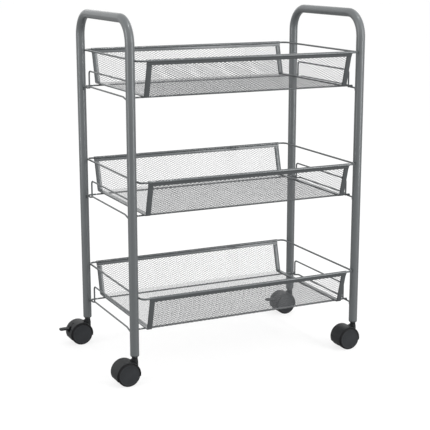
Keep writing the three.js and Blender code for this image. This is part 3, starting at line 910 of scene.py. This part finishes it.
def stem(corner):
    """The steel pin that the caster turns on, with its thrust collar and a groove below its tip."""
    node = f"{corner}_caster_stem"
    low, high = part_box(node)
    collar = (high.x - low.x) / 2
    pin, rim_edge = collar - COLLAR_STEP, collar - 0.1 * MM
    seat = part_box(f"{corner}_caster_housing")[1].z + 0.3 * MM
    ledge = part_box(f"{corner}_leg_plug")[0].z - 0.3 * MM
    profile = [(pin - 0.6 * MM, low.z), (pin, low.z + 0.6 * MM), (pin, seat), (rim_edge, seat)]
    profile += [(collar, (seat + ledge) / 2), (rim_edge, ledge), (pin, ledge), (pin, high.z - 3 * MM)]
    profile += [(pin - 0.5 * MM, high.z - 2.4 * MM), (pin - 0.2 * MM, high.z - 1.6 * MM)]
    profile.append((pin - 1.5 * MM, high.z))
    centre = Vector((middle(node).x, middle(node).y, 0))
    return piece(f"fine_{node}", [turned(profile, UP, centre, 32)], steel, "root", [node], 30)


# %% [markdown]
# ## Caster housings
# One moulding holds a caster together: a hood over both wheels, a web between them, a neck that turns on
# the stem, and a sloping rib from the neck to the hood's crown. We draw these four solids apart, each from
# its own section, and join them. The hood's shoulders are soft, as the tool leaves them.

# %% The hood and the web
HOOD_START, HOOD_END = math.radians(-12), math.radians(205)
HOOD_STEPS = 64
HOOD_WALL = 1.0 * MM
SHOULDER = 1.6 * MM
WEB_HALF = 4 * MM
HUB = 9 * MM


def on_drum(axle, radius, angle, y):
    """A point on a drum round the axle."""
    return Vector((axle.x + radius * math.cos(angle), axle.y + y, axle.z + radius * math.sin(angle)))


def hood_shell(axle, radius, half):
    """The band over both wheels, with soft shoulders."""
    arc = [math.pi / 2 * k / 5 for k in range(6)]
    right = [(half - SHOULDER * (1 - math.cos(a)), radius - HOOD_WALL * 0.7 * (1 - math.sin(a))) for a in arc]
    section = [*right, *[(-y, r) for y, r in reversed(right)]]
    section += [(-half, radius - HOOD_WALL), (half, radius - HOOD_WALL)]
    angles = [HOOD_START + (HOOD_END - HOOD_START) * k / HOOD_STEPS for k in range(HOOD_STEPS + 1)]
    return loft([[on_drum(axle, r, angle, y) for y, r in section] for angle in angles])


def web_shell(axle, radius):
    """The plate between the wheels: as deep as the hood above the axle, and a round hub below it."""
    inner = radius - HOOD_WALL / 2
    upper = [HOOD_START + (HOOD_END - HOOD_START) * k / 40 for k in range(41)]
    lower = [HOOD_END + (2 * math.pi + HOOD_START - HOOD_END) * k / 12 for k in range(13)]
    outline = [(inner, angle) for angle in upper] + [(HUB, angle) for angle in lower]
    return loft([[on_drum(axle, r, angle, y) for r, angle in outline] for y in (-WEB_HALF, WEB_HALF)])


# %% The neck and its rib
NECK_DEPTH = 17.6 * MM
NECK_EDGE = 0.5 * MM
POINT = 0.01 * MM  # a profile starts this close to its axis
RIB_HALF = 2.4 * MM


def neck_shell(swivel, top, radius):
    """The collar that the stem turns in. It widens towards the hood."""
    slim, root = radius - 0.8 * MM, top - NECK_DEPTH
    profile = [(POINT, root), (radius, root), (radius, top - 8 * MM), (slim + 0.3 * MM, top - 5 * MM)]
    profile += [(slim, top - 3 * MM), (slim, top - NECK_EDGE), (slim - NECK_EDGE, top), (POINT, top)]
    return turned(profile, UP, Vector((swivel.x, swivel.y, 0)), 40)


def gusset_shell(swivel, axle, crest, top):
    """The sloping rib that ties the neck to the crown of the hood."""
    outline = [(swivel.x - 3 * MM, top - 2.6 * MM), (swivel.x - 5.2 * MM, top - 2.9 * MM)]
    outline += [(axle.x + 6.5 * MM, crest - 1.05 * MM), (axle.x + 6.5 * MM, crest - 4 * MM)]
    outline.append((swivel.x - 3 * MM, crest - 8 * MM))
    return loft([[Vector((x, swivel.y + y, z)) for x, z in outline] for y in (-RIB_HALF, RIB_HALF)])


# %% [markdown]
# ### Bores, wells and the lever's slot
# What has to turn or swing in the housing needs room: a well for each wheel, a bore for the stem and one
# for the axle. A housing with a brake also has a slot for the lever's tongue and a wider window for its
# pad. All are cut at the end, and a small bevel rounds what is left.

# %% Cut the slots and bores, and place the four housings
BORE_SLACK = 0.3 * MM
WELL_SKIN = 0.02 * MM  # keeps the wells' faces clear of the web's
SILL = 3 * MM  # of both openings, above the axle
SLOT = (-36.5 * MM, -25.5 * MM), 2.6 * MM, 19.2 * MM  # its X limits from the swivel, half width and top
WINDOW = (-45 * MM, -33.5 * MM), 6.8 * MM, 13.6 * MM
MOULD_EDGE = 0.3 * MM


def housing(corner):
    """The whole moulded body of one caster."""
    node = f"{corner}_caster_housing"
    low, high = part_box(node)
    axle, swivel = middle(f"{corner}_caster_axle"), middle(f"{corner}_caster_stem")
    radius, half = axle.x - low.x, (high.y - low.y) / 2
    past = 2 * half
    centre = Vector((swivel.x, swivel.y, 0))
    stem_low, stem_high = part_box(f"{corner}_caster_stem")
    bore = stem_high.x - swivel.x - COLLAR_STEP + BORE_SLACK
    axle_bore = span(f"{corner}_caster_axle").x / 2 + BORE_SLACK
    steps = [(ADD, web_shell(axle, radius)), (ADD, neck_shell(swivel, high.z, high.x - swivel.x))]
    steps.append((ADD, gusset_shell(swivel, axle, axle.z + radius, high.z)))
    for side in (-1, 1):
        well = [(radius - HOOD_WALL, side * (WEB_HALF + WELL_SKIN)), (radius - HOOD_WALL, side * past)]
        steps.append((CUT, turned(well, SIDEWAYS, axle, 96)))
    steps.append((CUT, turned([(bore, stem_low.z - 0.5 * MM), (bore, high.z + 5 * MM)], UP, centre, 32)))
    steps.append((CUT, turned([(axle_bore, -past), (axle_bore, past)], SIDEWAYS, axle, 24)))
    if f"{corner}_brake_lever" in frame["nodes"]:
        for limits, half_width, top in (SLOT, WINDOW):
            x = [swivel.x + limit for limit in limits]
            y = (swivel.y - half_width, swivel.y + half_width)
            steps.append((CUT, block(x, y, (axle.z + SILL, axle.z + top))))
    body = carved(hood_shell(axle, radius, half), steps)
    depths = [round(point.y / MM, 1) for point in body[0]]
    print(corner, "housing has", len(body[1]), "faces, from Y", min(depths), "to", max(depths), "mm")
    made = piece(f"fine_{node}", [body], black_plastic, f"{corner}_caster", [node], 35)
    return soften(made, MOULD_EDGE, 2, 40)


# %% [markdown]
# ## Wheels
# A wheel is one round moulding with a nearly flat tread, a rounded shoulder and a shallow dish in its outer
# face. It is turned from its section like the plug. Its origin sits on its own axle, so that its finish can
# tell the tread from the face.

# %% Wheels with a dished face
WHEEL_SHOULDER = 2.8 * MM
WHEEL_RING, WHEEL_DISH = 16.8 * MM, 0.45 * MM  # where the dish starts, and how deep it is
BORE_DEPTH = 3.2 * MM  # the axle's bore stops this far under the outer face
WHEEL_CENTRE = 0.3 * MM


def wheel(corner, side, outward):
    """One wheel: nearly flat tread, rounded shoulder and a shallow dish that rises to its middle."""
    node = f"{corner}_caster_{side}_wheel"
    low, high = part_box(node)
    axle = middle(f"{corner}_caster_axle")
    radius = axle.z
    inner, outer = sorted((abs(low.y - axle.y), abs(high.y - axle.y)))
    bore = span(f"{corner}_caster_axle").x / 2 + 0.1 * MM
    bottom, hub, shoulder = outer - BORE_DEPTH, inner + 0.4 * MM, WHEEL_SHOULDER
    arc = [math.pi / 2 * k / 8 for k in range(9)]
    profile = [(WHEEL_CENTRE, bottom), (bore, bottom), (bore, hub), (7 * MM, hub), (7.4 * MM, inner)]
    profile += [(radius - 0.8 * MM, inner), (radius - 0.15 * MM, inner + 0.7 * MM)]
    profile.append((radius, inner + 2.5 * MM))
    profile += [(radius - shoulder * (1 - math.cos(a)), outer - shoulder * (1 - math.sin(a))) for a in arc]
    ring, dish = WHEEL_RING, WHEEL_DISH
    profile += [(ring, outer), (ring - 0.2 * MM, outer - dish * 0.4), (ring - 0.5 * MM, outer - dish)]
    profile += [(ring * 0.6, outer - dish * 0.8), (ring * 0.2, outer - dish * 0.6)]
    profile.append((WHEEL_CENTRE, outer - dish * 0.6))
    shell = turned(profile, SIDEWAYS * outward, axle, 64)
    centre = Vector((axle.x, middle(node).y, axle.z))
    return piece(f"fine_{node}", [shell], wheel_plastic, node, [node], 25, centre)


# %% [markdown]
# ## Axles
# A plain steel pin runs through both wheels and the web. Only its chamfered ends tell it from a cylinder,
# so a four-point profile is enough.


# %% Axles, and all four casters
def pin_shell(centre, radius, half, chamfer, end_radius, sides):
    """A pin across the cart with a chamfer at both ends."""
    profile = [(end_radius, -half), (radius, chamfer - half), (radius, half - chamfer), (end_radius, half)]
    return turned(profile, SIDEWAYS, centre, sides)


def axle_pin(corner):
    """The steel pin through both wheels."""
    node = f"{corner}_caster_axle"
    low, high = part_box(node)
    radius, chamfer = (high.x - low.x) / 2, 0.4 * MM
    shell = pin_shell(middle(node), radius, (high.y - low.y) / 2, chamfer, radius - chamfer, 24)
    return piece(f"fine_{node}", [shell], steel, f"{corner}_caster", [node], 30)


for corner in CORNERS:
    leg_plug(corner)
    stem(corner)
    housing(corner)
    axle_pin(corner)
    wheel(corner, "front", -1)
    wheel(corner, "back", 1)
    print(corner, "caster made, wheel radius", round(middle(f"{corner}_caster_axle").z / MM, 1), "mm")

# %% [markdown]
# ## Brake levers
# The two rear casters have a foot lever: a ribbed pad on a tongue that swings in the web. The pad is a
# rounded plate; its edges are softened with a bevel, since toes press on them, and ribs across it give
# grip.

# %% Levers and their pins
PAD_LENGTH, PAD_THICKNESS, PAD_CORNER = 18 * MM, 3 * MM, 4 * MM
TONGUE_HALF = 2.0 * MM
RIBS, RIB_RADIUS = 4, 0.6 * MM
FIRST_RIB, RIB_PITCH = 4.5 * MM, 3.2 * MM  # from the pad's tip


def lever(corner):
    """The foot lever, from its boss out to the pad's tip."""
    node = f"{corner}_brake_lever"
    low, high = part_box(node)
    pivot = middle(f"{corner}_brake_pin")
    half, y = (high.y - low.y) / 2, middle(node).y
    root, turn_x, top = low.x + PAD_LENGTH, low.x + PAD_CORNER, low.z + PAD_THICKNESS
    arc = [math.pi / 2 * k / 6 for k in range(7)]
    pad = [(root, -half), (root, half)]
    pad += [(turn_x - PAD_CORNER * math.sin(a), half - PAD_CORNER * (1 - math.cos(a))) for a in arc]
    pad += [(turn_x - PAD_CORNER * math.cos(a), PAD_CORNER * (1 - math.sin(a)) - half) for a in arc]
    shells = [loft([[Vector((px, y + py, z)) for px, py in pad] for z in (low.z, top)])]
    boss = high.z - pivot.z
    ends = [pivot + SIDEWAYS * side * TONGUE_HALF for side in (-1, 1)]
    shells.append(loft([[end + Vector((u, 0, v)) for u, v in circle(boss, 32)] for end in ends]))
    tongue = [(root - 2 * MM, low.z), (root + 1 * MM, low.z), (pivot.x + boss * 0.5, pivot.z - boss * 0.8)]
    tongue += [(pivot.x - boss * 0.4, pivot.z + boss * 0.85), (root, top), (root - 2 * MM, top)]
    shells.append(loft([[Vector((px, y + side * TONGUE_HALF, pz)) for px, pz in tongue] for side in (-1, 1)]))
    for k in range(RIBS):
        x = low.x + FIRST_RIB + k * RIB_PITCH
        ends = [Vector((x, y + side * (half - 2 * MM), top)) for side in (-1, 1)]
        shells.append(loft([[end + Vector((u, 0, v)) for u, v in circle(RIB_RADIUS, 16)] for end in ends]))
    made = piece(f"fine_{node}", shells, black_plastic, node, [node], 35)
    return soften(made, 0.4 * MM, 3, 50)


def brake_pin(corner):
    """The short pin that the lever swings on."""
    node = f"{corner}_brake_pin"
    low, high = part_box(node)
    radius = (high.z - low.z) / 2
    shell = pin_shell(middle(node), radius, (high.y - low.y) / 2, 0.3 * MM, radius * 0.8, 20)
    return piece(f"fine_{node}", [shell], steel, f"{corner}_caster", [node], 30)


for corner in ("rear_left", "rear_right"):
    lever(corner)
    brake_pin(corner)
print("levers made")

# %% [markdown]
# ## Floor
# The cart stands on white paper that runs on for ever. Plain paper would need so much light that the open
# mesh would vanish against it. So this floor gives off most of its brightness itself, and takes only a
# little shade from the cart. It is hidden from reflections, which would light the tubes from below.

# %% Lay the floor
FLOOR_REACH = 30.0
FLOOR_DROP = 0.2 * MM  # just under the wheels
PAPER, PAPER_GLOW = 0.25, 0.78
floor_mesh = bpy.data.meshes.new("floor")
outline = ((-1, -1), (1, -1), (1, 1), (-1, 1))
floor_points = [(u * FLOOR_REACH, v * FLOOR_REACH, -FLOOR_DROP) for u, v in outline]
floor_mesh.from_pydata(floor_points, [], [(0, 1, 2, 3)])
floor = bpy.data.objects.new("floor", floor_mesh)
bpy.context.scene.collection.objects.link(floor)
floor.visible_glossy = False
floor.visible_diffuse = False
pale = bpy.data.materials.new("pale floor")
pale.use_nodes = True
paper = pale.node_tree.nodes["Principled BSDF"].inputs
paper["Base Color"].default_value = (PAPER, PAPER, PAPER, 1)
paper["Roughness"].default_value = 1.0
paper["Specular IOR Level"].default_value = 0.0
paper["Emission Color"].default_value = (1, 1, 1, 1)
paper["Emission Strength"].default_value = PAPER_GLOW
floor_mesh.materials.append(pale)
print("floor laid,", 2 * FLOOR_REACH, "m square")

# %% [markdown]
# ## Room light
# Round satin tube shows the room as bands. A bright sky over a darker ground gives every tube a light upper
# side and a calm underside. The change between them lies just below the horizon, so that it never shows
# behind the cart.

# %% Light the room
AZIMUTH = math.radians(25.68)  # the camera stands this far round to the left of the front
TO_CAMERA = Vector((-math.sin(AZIMUTH), -math.cos(AZIMUTH), 0))
TO_RIGHT = Vector((math.cos(AZIMUTH), -math.sin(AZIMUTH), 0))
SKY, GROUND = 0.9, 0.44  # the room's brightness above and below
world = bpy.data.worlds.new("studio")
bpy.context.scene.world = world
world.use_nodes = True
world.node_tree.nodes.clear()
room = Signal(world.node_tree)
direction = room.node("ShaderNodeTexCoord", output="Generated")
height = room.node("ShaderNodeSeparateXYZ", {}, {0: direction}, "Z")
glow = (height * 0.5 + 0.5).ramp(0.46, 0.49) * (SKY - GROUND) + GROUND
light = room.node("ShaderNodeBackground", {}, {"Color": (1, 1, 1, 1), "Strength": glow})
room.node("ShaderNodeOutputWorld", {}, {"Surface": light})
print("room lit,", SKY, "above and", GROUND, "below")

# %% [markdown]
# ## Lamps
# Two tall soft boxes stand in front, left and right, and draw a long soft band down each side of the tubes.
# A wide strip behind lights the far walls of the baskets. A small lamp overhead is seen only in the clear
# coat of the top bends, where it makes a bright glint. Lamps are kept out of the camera's sight.

# %% Set the lamps
AIM = Vector((0, 0, 0.3))


def area_light(name, place, size, power):
    """A soft box that faces the middle of the cart."""
    data = bpy.data.lights.new(name, "AREA")
    data.shape, data.size, data.size_y, data.energy = "RECTANGLE", size[0], size[1], power
    lamp = bpy.data.objects.new(name, data)
    lamp.location = place
    lamp.rotation_euler = (AIM - place).to_track_quat("-Z", "Y").to_euler()
    lamp.visible_camera = False
    bpy.context.scene.collection.objects.link(lamp)
    print(name, "set,", power, "W")


area_light("left box", TO_RIGHT * -1.9 + TO_CAMERA * 1.1 + UP * 0.9, (0.5, 2.0), 14)
area_light("right box", TO_RIGHT * 1.9 + TO_CAMERA * 1.1 + UP * 0.9, (0.5, 2.0), 20)
area_light("back strip", TO_CAMERA * -2.5 + UP * 1.1, (3.2, 0.8), 6)
area_light("overhead spark", UP * 2.57 + TO_RIGHT * 0.88 + TO_CAMERA * 0.17, (0.22, 0.22), 10)

# %% [markdown]
# ## Camera
# The camera looks down a little on the cart from its front left corner. A long lens keeps the legs nearly
# parallel. The plain view transform keeps white paper white.

# %% Place the camera
PITCH = math.radians(12.82)
EYE = Vector((-0.8930, -1.8889, 0.7322))
camera_data = bpy.data.cameras.new("camera")
camera_data.lens = 95.65
camera = bpy.data.objects.new("camera", camera_data)
camera.location = EYE
view = Vector((math.sin(AZIMUTH) * math.cos(PITCH), math.cos(AZIMUTH) * math.cos(PITCH), -math.sin(PITCH)))
camera.rotation_euler = view.to_track_quat("-Z", "Y").to_euler()
bpy.context.scene.collection.objects.link(camera)
bpy.context.scene.camera = camera
bpy.context.scene.view_settings.view_transform = "Standard"
print("camera stands", round(EYE.length, 2), "m away")
